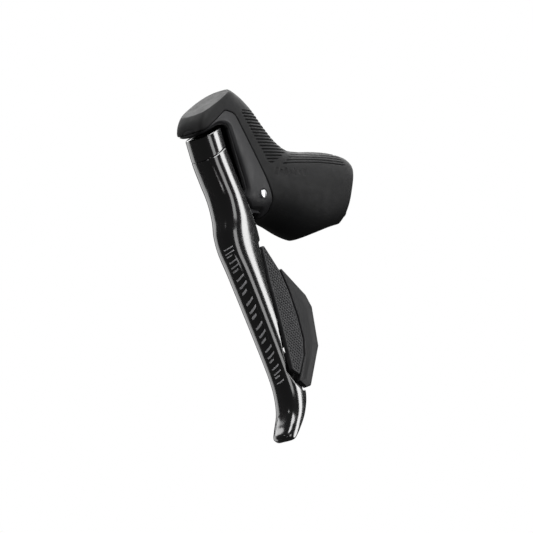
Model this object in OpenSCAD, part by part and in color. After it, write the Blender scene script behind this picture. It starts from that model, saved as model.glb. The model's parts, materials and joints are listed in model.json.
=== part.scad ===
// Dual-control brake and shift lever for a drop handlebar, left hand.
// Frame: +Z up with the grip level, +X rearward, -Y outboard; the origin is the centre of the handlebar clamp.

/* [Handlebar clamp] */
// Handlebar diameter
bar_d = 24; // [23.6:0.1:24.2]
// Lean of the bar's axis from upright, top rearward
bar_tilt = 22; // [20:0.5:24]
// Width of the clamp band
band_w = 11; // [9:0.5:12]
// Thickness of the clamp band
band_t = 1.2; // [1:0.1:1.4]

/* [Hood] */
// Thickness of the rubber hood
hood_t = 1.6; // [1.4:0.1:1.7]

/* [Brake lever] */
// Diameter of the lever's pivot pin
pin_d = 4; // [3.6:0.1:4.2]
// Wall of the lever blade at its front
blade_t = 2.6; // [2.2:0.1:3]
// Half the width between the bracket's cheeks
pocket_y = 10.4; // [10.2:0.1:10.6]

/* [Shift switches] */
// Thickness of the switch paddles
paddle_t = 2.2; // [1.8:0.1:2.4]
// Diameter of the switch axle
axle_d = 1.6; // [1.4:0.1:1.8]

/* [Master cylinder] */
// Diameter of the master cylinder's bore
bore_d = 8; // [7.6:0.1:8.2]

/* [Hidden] */
$fn = 48;

flange_drop = 0.4;              // how far the bracket's bare flange lies under the hood's surface
clear = 0.3;                    // gap between neighbouring pieces that only sit beside each other
pivot = [-53.3, 0, -2.3];       // lever pivot, on the row's middle plane
bar_r = bar_d / 2;
pin_r = pin_d / 2;
pin_fit = 0.05;                 // radial running clearance of pins
bore_z = -7.2;                  // height of the master cylinder's axis
bore_x = -21.8;                 // rear end of the master cylinder's bore
ring_x = -44.6;                 // front face of the piston's stop ring
leg_y = 12.6;                   // the band's hooked end, from the middle plane
bolt_y = 11.8;                  // the band's bolted end
nut_x = -11.6;                  // where the band's ends are held, in the clamp's frame
hook_r = 2;
rear_x = 3.4;                   // the hood's rear edge, in the clamp's frame
bolt_seat = -18.8;
hose = [-14.8, 6.4];            // brake hose port, in the clamp's frame
res = [-27, 8.6, 5];            // reservoir: axis in x and z, and the ledge its diaphragm sits on
cell = [-43.5, 5.5, 14.5];      // coin cell: axis in x and z, and its inner face
nose_button = [-66.3, 0, 41];
button_r = 2.3;
plate_in = 4.4;                 // inner and outer faces of the carrier's side plates
plate_out = 6.6;
reach_z = 12.4;
stroke_z = 8.6;
rivet_at = [[-65.5, 2.5], [-66, -10.5]];
dome_z = [-1, -31, -11, -23];   // heights of the contact domes
LEAD = [[-56.6, 1.6, -31.4], [-59.6, 2, -26], [-61.5, 2, -17], [-58.5, 2, -8], [-55, 2, 1.4], [-51, 2, 3.8],
    [-46, 2, 3.9]];

// ---- outlines in the side view, [x, z] ----

// Hood's parting seam, from the underside of the grip up round the pocket to the nose
seam = [[-57, -40], [-55, -13.8], [-47.5, -12], [-47.2, -4.5], [-66, 35.5], [-72, 37], [-84.5, 27.2],
    [-91, 26], [-116, 26], [-116, -40]];
seam_r = [0, 0, 4, 6, 4.5, 3, 4, 0, 0, 0];
// Front edge of the bracket's cheeks and the underside of the visor
mouth = [[-52, -40], [-52, -9.3], [-58.5, -9.3], [-64.2, -4.2], [-62.9, -0.5], [-71, 30.6], [-76.5, 30.4],
    [-85.5, 24.6], [-116, 20], [-116, -40]];
mouth_r = [0, 0.5, 3, 1.5, 1.5, 3, 6, 2, 0, 0];
// Pocket between the cheeks that the lever swings in
pocket = [[-43.5, -40], [-44.5, -15.5], [-45.5, -3], [-49.5, 4.5], [-61.5, 30.5], [-65.5, 32.8], [-76.5, 30.9],
    [-116, 20], [-116, -40]];
pocket_rs = [0, 0, 3, 4, 2, 2, 3, 0, 0];
// The yoke's part of the bracket, in front of a joint that runs down behind the pocket
yoke_side = [[-59.5, 70], [-59.5, 30.5], [-47.5, 4.5], [-48.3, 1], [-48.3, -60], [-116, -60], [-116, 70]];
// The horn's part, above the master cylinder and between the yoke and the grip
horn_side = [[-80, 70], [-80, 2], [-41.5, 2], [-2.3, 70]];
// Room in the blade for the carrier
carrier_room = [[-74.4, 17.4], [-74.4, 9.6], [-70.2, -5], [-69.2, -15.8], [-40, -15.8], [-40, 17.4]];

// ---- sections of the hood, rear to nose: top point, bottom point, half width, height of the widest point,
//      and the superellipse powers above and below it ----
HOOD = [
    [11.6, 13.8, 0.6, -13.4, 15.6, 0.5, 3.2, 2.7],
    [10.9, 17.6, -2, -16.6, 16.8, 0.5, 3.1, 2.7],
    [6.5, 20.4, -7, -19.0, 17.6, 0.5, 2.9, 2.6],
    [-1.0, 21.5, -14.5, -20.6, 18.0, 0.5, 2.7, 2.4],
    [-10, 21.6, -21, -21.0, 17.9, 0.5, 2.6, 2.1],
    [-20, 21.2, -29, -19.4, 17.1, 0.5, 2.5, 1.9],
    [-29.0, 22.2, -38, -16.2, 15.9, 0.48, 2.4, 1.8],
    [-36.5, 26.8, -46, -14.0, 14.7, 0.46, 2.4, 1.85],
    [-42.9, 34.5, -56, -13.2, 13.8, 0.44, 2.4, 2.1],
    [-47.0, 40.0, -66, -8.0, 13.2, 0.42, 2.5, 2.4],
    [-51.8, 44.0, -70, 6.0, 12.6, 0.42, 2.6, 2.5],
    [-57.2, 47.4, -74, 17.5, 12.0, 0.42, 2.7, 2.6],
    [-63.3, 49.6, -77, 24.5, 11.5, 0.42, 2.8, 2.6],
    [-69.9, 47.8, -80, 25.0, 11.0, 0.42, 2.8, 2.6],
    [-76.6, 43.7, -83, 25.0, 10.3, 0.42, 2.8, 2.6],
    [-82.2, 38.4, -85.5, 25.0, 9.4, 0.42, 2.8, 2.6],
    [-85.4, 33.4, -86.9, 25.3, 7.8, 0.45, 2.6, 2.5],
    [-86.6, 29.4, -87.2, 25.8, 5.0, 0.5, 2.4, 2.3]
];

// ---- sections of the lever blade, top to tip: front point, rear point, half width, sideways offset ----
BLADE = [
    [-84.2, 24.2, -73.8, 29.4, 9.0, 0],
    [-82.4, 17.8, -73.0, 24.4, 9.1, 0],
    [-80.6, 11.6, -71.0, 17.4, 9.2, 0],
    [-77.4, 3.8, -67.8, 8.8, 9.3, 0],
    [-74.2, -4.2, -63.6, -1.0, 9.3, 0],
    [-73.0, -12.6, -59.6, -11.2, 9.3, 0],
    [-73.8, -20.6, -56.8, -20.0, 9.1, -0.1],
    [-72.4, -29.0, -55.8, -27.8, 8.8, -0.3],
    [-67.8, -40.0, -55.2, -37.4, 8.4, -0.7],
    [-61.4, -58.0, -50.6, -54.8, 8.0, -1.6],
    [-55.2, -76.0, -45.4, -73.0, 7.6, -2.5],
    [-51.2, -89.0, -40.4, -87.4, 7.5, -3.2],
    [-49.6, -97.5, -39.4, -97.5, 7.6, -3.7],
    [-50.0, -105.5, -42.2, -106.4, 7.5, -4.2],
    [-52.8, -112.2, -46.8, -113.8, 7.1, -4.6],
    [-55.2, -116.8, -50.2, -118.6, 5.9, -4.9],
    [-55.0, -119.2, -52.4, -120.0, 3.3, -5.0]
];
flat_at = [-62.6, 0, 48.6];     // the flat on top of the nose: a point on it and its outward direction
flat_dir = [-0.513, 0, 0.858];
blade_power = 3;                // how square the blade's front is
cap_from = 0;                   // the lever cap's part of the blade's sections
cap_to = 1.64;
channel_from = 1.6;             // the blade's rear channel, in sections
channel_to = 10.3;

// ---- shift switch frame: origin at the top of the axle, z up along it, x rearward ----
switch_at = [-56.2, -5.3, -37];
switch_tilt = [-2.9, -12.7, 0];
paddle_y = -4.6;                // outer face of the paddles, from the axle

// Front paddle and rear paddle, [x, z] in the switch frame
FRONT_PADDLE = [[2.2, 9.5], [4.2, 9.2], [9.2, -3.2], [11, -14], [11.4, -27], [10.4, -38], [7.4, -45.5],
    [0.6, -53.6], [-3.2, -50], [-1.4, -31], [-0.2, -17], [0.2, -7], [1.6, 3]];
REAR_PADDLE = [[9.8, -3], [11.2, -3.4], [21.8, -18.2], [23.6, -24.5], [19.6, -43], [6, -59.8], [2.6, -60],
    [-0.6, -56.2], [1.4, -53.8], [8, -45.8], [11, -38.2], [12, -27], [11.6, -14]];

// ================= helpers =================

// Catmull-Rom value of the control rows P at t, counted in rows
function along(P, t) =
    let (n = len(P), i = max(0, min(n - 2, floor(t))), u = t - i,
        a = P[max(i - 1, 0)], b = P[i], c = P[i + 1], d = P[min(i + 2, n - 1)])
    0.5 * (2 * b + (c - a) * u + (2 * a - 5 * b + 4 * c - d) * u * u + (3 * b - a - 3 * c + d) * u * u * u);

// Rows of P between t0 and t1, in n steps
function rows(P, t0, t1, n) = [for (i = [0 : n]) along(P, t0 + (t1 - t0) * i / n)];

function unit(v) = v / norm(v);
function bend(v, p) = sign(v) * pow(abs(v), 2 / p);

// One closed ring of the hood's surface; grow moves it outward
function hood_ring(s, grow, k) =
    let (T = [s[0], 0, s[1]], B = [s[2], 0, s[3]], d = unit(T - B), M = B + s[5] * (T - B),
        up = norm(T - M) + grow, down = norm(B - M) + grow, w = s[4] + grow)
    [for (i = [0 : k - 1]) let (a = -360 * i / k, c = cos(a), q = sin(a),
        p = M + [0, w * bend(c, q >= 0 ? s[6] : s[7]), 0] + d * (q >= 0 ? up * bend(q, s[6]) : down * bend(q, s[7])))
        p - d * max(0, ((p - flat_at) * flat_dir - grow) / (d * flat_dir))];

// One closed ring of the blade: a bowed front and a flat back; in is how far it is inset, back how far it runs rearward
function blade_ring(s, in, back, k) =
    let (F = [s[0], s[5], s[1]], R = [s[2], s[5], s[3]], d = unit(R - F), depth = norm(R - F) + back - in, w = s[4] - in)
    [for (i = [0 : k - 1]) let (a = -90 + 180 * i / (k - 1), c = cos(a), q = sin(a))
        F + d * (in + depth * (1 - bend(c, blade_power))) + [0, w * bend(q, blade_power), 0]];

// A solid through closed rings of equal length, with flat ends
module loft(rings) {
    n = len(rings);
    k = len(rings[0]);
    polyhedron(
        points = [for (r = rings) each r],
        faces = concat(
            [[for (j = [0 : k - 1]) j]],
            [for (i = [0 : n - 2]) for (j = [0 : k - 1]) let (m = (j + 1) % k)
                each [[i * k + j, (i + 1) * k + j, (i + 1) * k + m], [i * k + j, (i + 1) * k + m, i * k + m]]],
            [[for (j = [k - 1 : -1 : 0]) (n - 1) * k + j]]
        ),
        convexity = 8
    );
}

// Corner i of an outline, cut by an arc of radius r
function corner(P, i, r) =
    let (n = len(P), p = P[i], a = unit(P[(i + n - 1) % n] - p), b = unit(P[(i + 1) % n] - p),
        half = acos(max(-1, min(1, a * b))) / 2)
    r <= 0 || half > 88 ? [p] :
    let (c = p + unit(a + b) * r / sin(half), s = p + a * r / tan(half), e = p + b * r / tan(half),
        n1 = 6, a0 = atan2(s[1] - c[1], s[0] - c[0]), a1 = atan2(e[1] - c[1], e[0] - c[0]),
        turn = a1 - a0 > 180 ? a1 - a0 - 360 : a1 - a0 < -180 ? a1 - a0 + 360 : a1 - a0)
    [for (k = [0 : n1]) c + r * [cos(a0 + turn * k / n1), sin(a0 + turn * k / n1)]];

function rounded(P, R) = [for (i = [0 : len(P) - 1]) each corner(P, i, is_list(R) ? R[i] : R)];

// Side-view outline [x, z], thick from y0 to y1
module side(outline, y0, y1) {
    translate([0, y1, 0]) rotate([90, 0, 0]) linear_extrude(y1 - y0) polygon(outline);
}

// A cylinder across the row at [x, z], from y0 to y1
module across(x, z, r, y0, y1) {
    translate([x, y1, z]) rotate([90, 0, 0]) cylinder(r = r, h = y1 - y0);
}

// A cylinder along +X from x0 to x1 at [y, z]
module lengthwise(y, z, r, x0, x1) {
    translate([x0, y, z]) rotate([0, 90, 0]) cylinder(r = r, h = x1 - x0);
}

// A tube along +Z
module tube(r, bore, h) {
    difference() {
        cylinder(r = r, h = h);
        translate([0, 0, -1]) cylinder(r = bore, h = h + 2);
    }
}

module in_clamp() rotate([0, bar_tilt, 0]) children();
module in_switch() translate(switch_at) rotate(switch_tilt) children();

// A coiled wire along +Z: mean radius, wire radius, turns, height
module coil(r, wire, turns, h) {
    steps = ceil(turns * 14);
    k = 8;
    lean = atan(h / (turns * 2 * PI * r));
    loft([for (i = [0 : steps]) let (a = 360 * turns * i / steps, z = h * i / steps)
        [for (j = [0 : k - 1]) let (b = -360 * j / k, u = wire * cos(b), v = wire * sin(b))
            [(r + u) * cos(a) + v * sin(lean) * sin(a), (r + u) * sin(a) - v * sin(lean) * cos(a), z + v * cos(lean)]]]);
}

module hood_shell(grow) {
    loft([for (s = rows(HOOD, 0, len(HOOD) - (grow < -1 ? 1.6 : 1), 36)) hood_ring(s, grow, 28)]);
}

// Everything behind a plane across the bar, x in the clamp's frame
module behind(x) in_clamp() translate([x, -40, -60]) cube([40, 80, 120]);
module blade_shell(t0, t1, n, in, back) loft([for (s = rows(BLADE, t0, t1, n)) blade_ring(s, in, back, 15)]);

// ================= bracket and hood =================

// The button's outline on the inner side of the nose, from y0 outward
module button_hole(r, y0) {
    hull() for (x = [-1.6, 1.6]) translate([nose_button[0] + x, 0, nose_button[2] + x * 0.65]) across(0, 0, r, y0, 20);
}

// Outer form of the bracket, with its bare flange round the lever's mouth
module bracket_form() {
    hood_shell(-hood_t);
    intersection() {
        hood_shell(-flange_drop);
        side(rounded(seam, seam_r), -40, 40);
    }
}

module mouth_and_pocket() {
    side(rounded(mouth, mouth_r), -40, 40);
    side(rounded(pocket, pocket_rs), -pocket_y, pocket_y);
}

// Rear part of the bracket: saddle, master cylinder and reservoir
module bracket_body() {
    color([0.16, 0.165, 0.175]) difference() {
        bracket_form();
        side(yoke_side, -40, 40);
        side(horn_side, -40, 40);
        mouth_and_pocket();
        behind(-0.8);
        // handlebar saddle, slots for the band's legs and the room for their ends
        in_clamp() {
            translate([0, 0, -60]) cylinder(r = bar_r + pin_fit, h = 120, $fn = 96);
            translate([-12, -bar_r - band_t - 0.4, -band_w / 2 - 0.4])
                cube([24, 2 * (bar_r + band_t + 0.4), band_w + 0.8]);
            for (y = [-18.5, 9.2]) translate([nut_x - 3.8, y, -band_w / 2 - 0.4])
                cube([12, y < 0 ? 10.4 : 9.3, band_w + 0.8]);
            translate([nut_x, leg_y, -8.5]) cylinder(r = hook_r + pin_fit, h = 40);
            translate([bolt_seat - 14, -bolt_y, 0]) rotate([0, 90, 0]) cylinder(r = 3.2, h = 14);
            translate([bolt_seat - 1, -bolt_y, 0]) rotate([0, 90, 0]) cylinder(r = 2.2, h = 9);
            // brake hose port, out along the bar's inner side
            translate([hose[0], hose[1], -7]) cylinder(r = 2.4, h = 12);
            translate([hose[0], hose[1], 4]) cylinder(r = 2.75, h = 40);
            translate([hose[0], hose[1], -16]) cylinder(r = 1.2, h = 10);
        }
        // master cylinder, its stop ring, feed ports and outlet
        lengthwise(0, bore_z, bore_d / 2, -50, bore_x);
        lengthwise(0, bore_z, bore_d / 2 + 0.8, ring_x, ring_x + 1);
        lengthwise(0, bore_z, 1.2, bore_x - 1, bore_x + 2.8);
        across(bore_x + 1.9, bore_z, 1.2, 0, 7.4);
        // reservoir, feed ports and bleed port
        across(res[0], res[2], 7, -5, 20);
        across(res[0], res[2], 8.1, res[1], 20);
        across(res[0], res[2], 10.4, res[1] + 0.8, 20);
        for (x = [-2, 3]) translate([res[0] + x, 0, bore_z]) cylinder(r = 0.7, h = 12);
        translate([res[0] + 1, 0, res[2]]) cylinder(r = 2.05, h = 40);
        translate([res[0] + 1, 0, 16.9]) cylinder(r = 3.2, h = 20);
        at_cover_screws() cylinder(r = 0.8, h = 4);
    }
}

// Upper part of the bracket, with the bays of the battery and the control board
module bracket_horn() {
    color([0.16, 0.165, 0.175]) difference() {
        intersection() {
            bracket_form();
            side(horn_side, -40, 40);
        }
        side(yoke_side, -40, 40);
        mouth_and_pocket();
        // way in for the switches' lead
        lengthwise(2, 3.9, 1.1, -52, -45.8);
        // battery bay and its screw
        across(cell[0], cell[2], 6.4, cell[1] - 0.9, 30);
        across(cell[0], cell[2], 7.4, cell[1] + 2.7, 30);
        at_cell_screw() {
            cylinder(r = 0.5, h = 4);
            translate([0, 0, 3.6]) cylinder(r = 1.4, h = 20);
        }
        // control board's bay
        at_board() translate([-5.8, -30, -9]) cube([11.6, 24.5, 15]);
    }
}

// Front part of the bracket: the cheeks that hold the pivot, and the nose over the lever
module lever_yoke() {
    color([0.16, 0.165, 0.175]) difference() {
        intersection() {
            bracket_form();
            side(yoke_side, -40, 40);
        }
        mouth_and_pocket();
        // pivot
        across(pivot[0], pivot[2], pin_r + pin_fit, -30, 30);
        across(pivot[0], pivot[2], pin_r + 0.3, -30, -12.3);
        across(pivot[0], pivot[2], 3.7, 11.7, 30);
        // way in for the switches' lead
        lengthwise(2, 3.9, 1.1, -52, -45.8);
        // hood button
        button_hole(button_r + clear, 7.5);
        across(nose_button[0], nose_button[2], 2.05, 1.9, 20);
    }
}

module hood_cover() {
    color([0.09, 0.09, 0.095]) difference() {
        hood_shell(0);
        hood_shell(-hood_t);
        side(rounded(seam, seam_r), -40, 40);
        behind(rear_x);
        in_clamp() translate([0, 0, -60]) cylinder(r = bar_r + 0.3, h = 120, $fn = 96);
        in_clamp() translate([hose[0], hose[1], 0]) cylinder(r = 3, h = 40);
        button_hole(button_r + clear, 5);
    }
}

// Places for the small screws: +z points out of the part
module at_cover_screws() {
    for (a = [30, 150, 270])
        translate([res[0] + 9 * cos(a), res[1] - 2.6, res[2] + 9 * sin(a)]) rotate([-90, 0, 0]) children();
}
module at_cell_screw() translate([cell[0] - 3.1, cell[1] - 0.6, cell[2] - 6.1]) rotate([-90, 0, 0]) children();
module at_board() translate([-46, 0, 17]) rotate([0, -24.8, 0]) children();

module hood_switch_button() {
    color([0.13, 0.13, 0.135]) {
        intersection() {
            hood_shell(0);
            button_hole(button_r, 8.4);
        }
        across(nose_button[0], nose_button[2], 2, 4.1, 8.6);
    }
}

module switch_button_board() {
    color([0.1, 0.3, 0.18]) across(nose_button[0], nose_button[2], 1.95, 1.9, 2.9);
    color([0.75, 0.75, 0.72]) across(nose_button[0], nose_button[2], 1.2, 2.9, 3.3);
}

// ================= handlebar clamp =================

module clamp_band() {
    color([0.62, 0.63, 0.65]) in_clamp() translate([0, 0, -band_w / 2]) difference() {
        union() {
            intersection() {
                tube(bar_r + pin_fit + band_t, bar_r + pin_fit, band_w);
                translate([0, -20, 0]) cube([20, 40, band_w]);
            }
            for (s = [-1, 1])
                translate([nut_x, s * (bar_r + pin_fit + band_t / 2) - band_t / 2, 0])
                    cube([-nut_x + 0.01, band_t, band_w]);
            translate([nut_x, -bolt_y, 0]) cylinder(r = 3.3, h = band_w);
            translate([nut_x, leg_y, 0]) cylinder(r = 2.8, h = band_w);
        }
        translate([nut_x, -bolt_y, -1]) cylinder(r = 2.6, h = band_w + 2);
        translate([nut_x, leg_y, -1]) cylinder(r = hook_r, h = band_w + 2);
        translate([nut_x - 8, -bolt_y, band_w / 2]) rotate([0, 90, 0]) cylinder(r = 2.2, h = 10);
    }
}

module clamp_bolt() {
    color([0.3, 0.31, 0.33]) in_clamp() translate([bolt_seat - 3.2, -bolt_y, 0]) rotate([0, 90, 0]) difference() {
        union() {
            cylinder(r = 2.9, h = 3.2);
            cylinder(r = 2, h = 12);
        }
        translate([0, 0, -1]) cylinder(r = 1.7, h = 3, $fn = 6);
    }
}

module clamp_nut() {
    color([0.5, 0.5, 0.52]) in_clamp() translate([nut_x, -bolt_y, -4.8]) difference() {
        cylinder(r = 2.6, h = 9.6);
        translate([-5, 0, 4.8]) rotate([0, 90, 0]) cylinder(r = 2, h = 10);
    }
}

module clamp_hook_pin() {
    color([0.55, 0.56, 0.58]) in_clamp() translate([nut_x, leg_y, -8.4]) cylinder(r = hook_r, h = 16.8);
}

// ================= pivot =================

module pivot_pin() {
    color([0.8, 0.81, 0.83]) difference() {
        across(pivot[0], pivot[2], pin_r, -12.6, 12.6);
        difference() {
            across(pivot[0], pivot[2], pin_r + 1, 11.8, 12.3);
            across(pivot[0], pivot[2], pin_r - 0.5, 11, 13);
        }
    }
}

module pivot_clip() {
    color([0.35, 0.36, 0.38]) difference() {
        across(pivot[0], pivot[2], pin_r + 1.4, 11.8, 12.3);
        across(pivot[0], pivot[2], pin_r - 0.5, 11, 13);
        side([for (p = [[0, -1.3], [8, -1.3], [8, 1.3], [0, 1.3]]) p + [pivot[0], pivot[2]]], 11, 13);
    }
}

// Flanged bushes pressed into the carrier's eyes
module pivot_bushes() {
    color([0.72, 0.6, 0.38]) for (s = [-1, 1]) translate(pivot) rotate([-90 * s, 0, 0]) difference() {
        union() {
            translate([0, 0, plate_in]) cylinder(r = pin_r + 0.9, h = plate_out - plate_in);
            translate([0, 0, plate_out]) cylinder(r = pin_r + 1.8, h = 0.5);
        }
        cylinder(r = pin_r + pin_fit, h = 20);
    }
}

module lever_return_spring() {
    color([0.7, 0.71, 0.73]) translate([pivot[0], plate_out + 1.1, pivot[2]]) rotate([-90, 0, 0])
        coil(3.9, 0.4, 2.25, 1.9);
}

// ================= brake lever =================

module lever_blade() {
    color([0.05, 0.05, 0.055]) difference() {
        blade_shell(cap_to + 0.04, len(BLADE) - 1, 36, 0, 0);
        blade_shell(channel_from, channel_to, 26, blade_t, 6);
        side(carrier_room, -plate_out - 0.05, plate_out + 0.05);
        in_switch() {
            side(relief_outline(), -14, -1);
            translate([-2.7, -2.8, -45]) cube([12, 5.2, 56]);
        }
        for (p = rivet_at) across(p[0], p[1], 1.5, -8.1, 20);
        at_switch_screws() {
            cylinder(r = 1, h = 12);
            translate([0, 0, 8.7]) cylinder(r = 1.7, h = 4);
        }
    }
}

module lever_cap() {
    color([0.05, 0.05, 0.055]) difference() {
        union() {
            difference() {
                blade_shell(cap_from, cap_to, 4, 0, 0);
                blade_shell(0.3, 2.2, 4, 2, 6);
            }
            lengthwise(0, 19.6, 2.2, -81.6, -76.2);
        }
        lengthwise(0, 19.6, 1, -80.4, -70);
    }
}

// Side outline of the carrier, from the tongue behind the cap to the push arm below the pivot
CARRIER = [[-72.2, 17.2], [-67.4, 17.2], [-60.6, 5.2], [-52.6, 3.2], [-48, 1.4], [-47.9, -6], [-50, -10.6],
    [-56, -10.6], [-60.5, -13.6], [-69, -15.6], [-70, -5], [-74.2, 9.6]];

module lever_carrier() {
    color([0.42, 0.43, 0.45]) difference() {
        union() {
            for (y = [-plate_out, plate_in]) side(rounded(CARRIER, 1.6), y, y + plate_out - plate_in);
            // web across the front, carrying the adjusting screws
            side([[-73.2, 17.2], [-69.6, 17.2], [-66, -15.6], [-69, -15.6], [-70, -5], [-73.6, 9.6]], -plate_out, plate_out);
            // tongue the cap is screwed to
            side([[-76.1, 13], [-69.6, 13], [-69.6, 17.2], [-73.8, 17.2], [-74.4, 22.6], [-76.1, 22.6]], -4, 4);
            // roller the push rod bears on
            across(pivot[0], bore_z, 2.5, -plate_out, plate_out);
        }
        across(pivot[0], pivot[2], pin_r + 0.9, -plate_out - 1, plate_out + 1);
        for (p = rivet_at) across(p[0], p[1], 1.5, -20, 20);
        lengthwise(3, reach_z, 1.5, -90, -50);
        lengthwise(-3, stroke_z, 1.5, -90, -50);
        lengthwise(0, 19.6, 1, -90, -60);
    }
}

module lever_cap_screw() {
    color([0.6, 0.6, 0.62]) difference() {
        union() {
            lengthwise(0, 19.6, 1, -80.4, -73);
            lengthwise(0, 19.6, 1.8, -73.8, -72.6);
        }
        translate([-73.3, 0, 19.6]) rotate([0, 90, 0]) cylinder(r = 0.8, h = 2, $fn = 6);
    }
}

module carrier_rivets() {
    color([0.5, 0.5, 0.52]) for (p = rivet_at) across(p[0], p[1], 1.5, -8.1, 8.8);
}

// A grub screw along the row with a hexagon socket at its front
module grub(y, z, x0, x1) {
    difference() {
        lengthwise(y, z, 1.5, x0, x1);
        translate([x0 - 1, y, z]) rotate([0, 90, 0]) cylinder(r = 0.9, h = 2.6, $fn = 6);
    }
}
module reach_screw() color([0.66, 0.66, 0.68]) grub(3, reach_z, -75.2, pocket_x(reach_z) - 0.85);
module free_stroke_screw() color([0.56, 0.57, 0.6]) grub(-3, stroke_z, -74.2, pocket_x(stroke_z) - 0.85);

// Pocket's rear wall at a height
function pocket_x(z) = -49.5 - (z - 4.5) * 12 / 26;

// ================= master cylinder =================

module push_rod() {
    color([0.68, 0.69, 0.7]) lengthwise(0, bore_z, 1.8, pivot[0] + 2.8, -41);
}

module master_piston() {
    r = bore_d / 2 - 0.1;
    color([0.58, 0.6, 0.63]) difference() {
        lengthwise(0, bore_z, r, -43.5, -32);
        lengthwise(0, bore_z, 1.8, -46, -41);
        for (x = [-41.6, -34.6]) difference() {
            lengthwise(0, bore_z, r + 1, x, x + 1.6);
            lengthwise(0, bore_z, r - 1.3, x - 1, x + 3);
        }
        lengthwise(0, bore_z, 2.6, -33.2, -30);
    }
}

// A seal ring in the piston's groove at x
module seal(x) {
    difference() {
        lengthwise(0, bore_z, bore_d / 2 - 0.05, x, x + 1.6);
        lengthwise(0, bore_z, bore_d / 2 - 1.4, x - 1, x + 3);
    }
}
module piston_cup_seal() color([0.08, 0.08, 0.08]) seal(-34.6);
module piston_o_ring() color([0.12, 0.12, 0.12]) seal(-41.6);

module piston_spring() {
    color([0.7, 0.71, 0.73]) translate([-32.8, 0, bore_z]) rotate([0, 90, 0]) coil(1.9, 0.35, 4.5, 10.6);
}

module piston_stop_ring() {
    color([0.4, 0.41, 0.43]) difference() {
        lengthwise(0, bore_z, bore_d / 2 + 0.75, ring_x + 0.05, ring_x + 0.95);
        lengthwise(0, bore_z, 2.9, ring_x - 1, ring_x + 2);
        translate([ring_x - 1, -1, bore_z - 8]) cube([3, 2, 8]);
    }
}

module reservoir_diaphragm() {
    color([0.1, 0.1, 0.1]) difference() {
        union() {
            across(res[0], res[2], 8.05, res[1], res[1] + 0.8);
            across(res[0], res[2], 5.4, res[1] - 3, res[1] + 0.8);
        }
        across(res[0], res[2], 4.8, res[1] - 2.4, res[1] + 2);
    }
}

module reservoir_cover() {
    color([0.2, 0.2, 0.21]) difference() {
        across(res[0], res[2], 10.3, res[1] + 0.8, res[1] + 2);
        at_cover_screws() cylinder(r = 0.85, h = 8);
        across(res[0], res[2], 0.8, res[1], res[1] + 4);
    }
}

// Small screw along +z: shank radius, length, head radius
module screw(r, h, head) {
    difference() {
        union() {
            cylinder(r = r, h = h);
            translate([0, 0, h]) cylinder(r = head, h = 0.7);
        }
        translate([0, 0, h - 0.3]) cylinder(r = head * 0.5, h = 2, $fn = 6);
    }
}

module reservoir_screws() color([0.6, 0.6, 0.62]) at_cover_screws() screw(0.8, 4.6, 1.2);

module bleed_screw() {
    color([0.62, 0.63, 0.65]) translate([res[0] + 1, 0, 0]) difference() {
        union() {
            translate([0, 0, 11]) cylinder(r = 2, h = 5.9);
            translate([0, 0, 16.9]) cylinder(r = 3, h = 1.6);
        }
        translate([0, 0, 17.3]) cylinder(r = 1.4, h = 3, $fn = 6);
        translate([0, 0, 14.9]) tube(2.5, 1.6, 1.2);
    }
}

module bleed_o_ring() {
    color([0.08, 0.08, 0.08]) translate([res[0] + 1, 0, 14.9]) tube(2.02, 1.6, 1.2);
}

// ================= electronics in the bracket =================

module coin_cell() {
    color([0.78, 0.79, 0.8]) {
        across(cell[0], cell[2], 6.25, cell[1] + 0.4, cell[1] + 2.5);
        across(cell[0], cell[2], 5.3, cell[1], cell[1] + 0.5);
    }
}

module battery_contact() {
    color([0.8, 0.72, 0.4]) {
        across(cell[0], cell[2], 5, cell[1] - 0.9, cell[1] - 0.6);
        across(cell[0], cell[2], 2, cell[1] - 0.7, cell[1]);
    }
}

module battery_cover() {
    color([0.18, 0.18, 0.19]) difference() {
        union() {
            across(cell[0], cell[2], 7.3, cell[1] + 2.7, cell[1] + 3.7);
            across(cell[0], cell[2], 6.3, cell[1] + 2.5, cell[1] + 3);
        }
        at_cell_screw() cylinder(r = 0.55, h = 8);
    }
}

module battery_cover_screw() color([0.6, 0.6, 0.62]) at_cell_screw() screw(0.5, 4.3, 1.2);

module control_board() {
    at_board() {
        color([0.1, 0.32, 0.2]) translate([-5.5, -6.5, -8.7]) cube([11, 1, 14.4]);
        color([0.06, 0.06, 0.065]) translate([-3.5, -7.7, -6]) cube([6, 1.3, 5]);
        color([0.7, 0.7, 0.68]) translate([-4, -7.9, 1]) cube([7, 1.5, 3.4]);
    }
}

module board_cover() {
    color([0.2, 0.2, 0.21]) at_board() translate([-5.7, -9.4, -8.9]) cube([11.4, 0.9, 14.8]);
}

// ================= shift switches =================

// Room cut in the blade for the two paddles
function relief_outline() = [[1.4, 12], [8, 12], [30, -10], [30, -50], [6, -61], [2, -60.8], [-1.6, -56.4],
    [-3.9, -50.2], [-1.9, -31], [-0.7, -17], [-0.3, -7], [1.1, 3]];

module paddle(outline, knuckles, reach, from_y) {
    side(rounded(outline, 0.7), paddle_y, paddle_y + paddle_t);
    for (k = knuckles) translate([0, 0, k[0]]) difference() {
        union() {
            cylinder(r = 1.7, h = k[1]);
            translate([-0.2, from_y, 0]) cube([reach + 0.2, 1.7 - max(0, -from_y - 0.9), k[1]]);
            translate([reach - 1.7, paddle_y + 0.6, 0]) cube([1.7, -paddle_y - 0.6 + from_y + 0.5, k[1]]);
        }
        translate([0, 0, -1]) cylinder(r = axle_d / 2 + pin_fit, h = k[1] + 2);
    }
}

module front_switch_paddle() {
    color([0.2, 0.2, 0.21]) in_switch() paddle(FRONT_PADDLE, [[-2, 4], [-33, 4]], 5.5, -1.6);
}

module rear_switch_paddle() {
    color([0.13, 0.13, 0.135]) in_switch() paddle(REAR_PADDLE, [[-13, 4], [-25, 4]], 14, -0.9);
}

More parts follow.
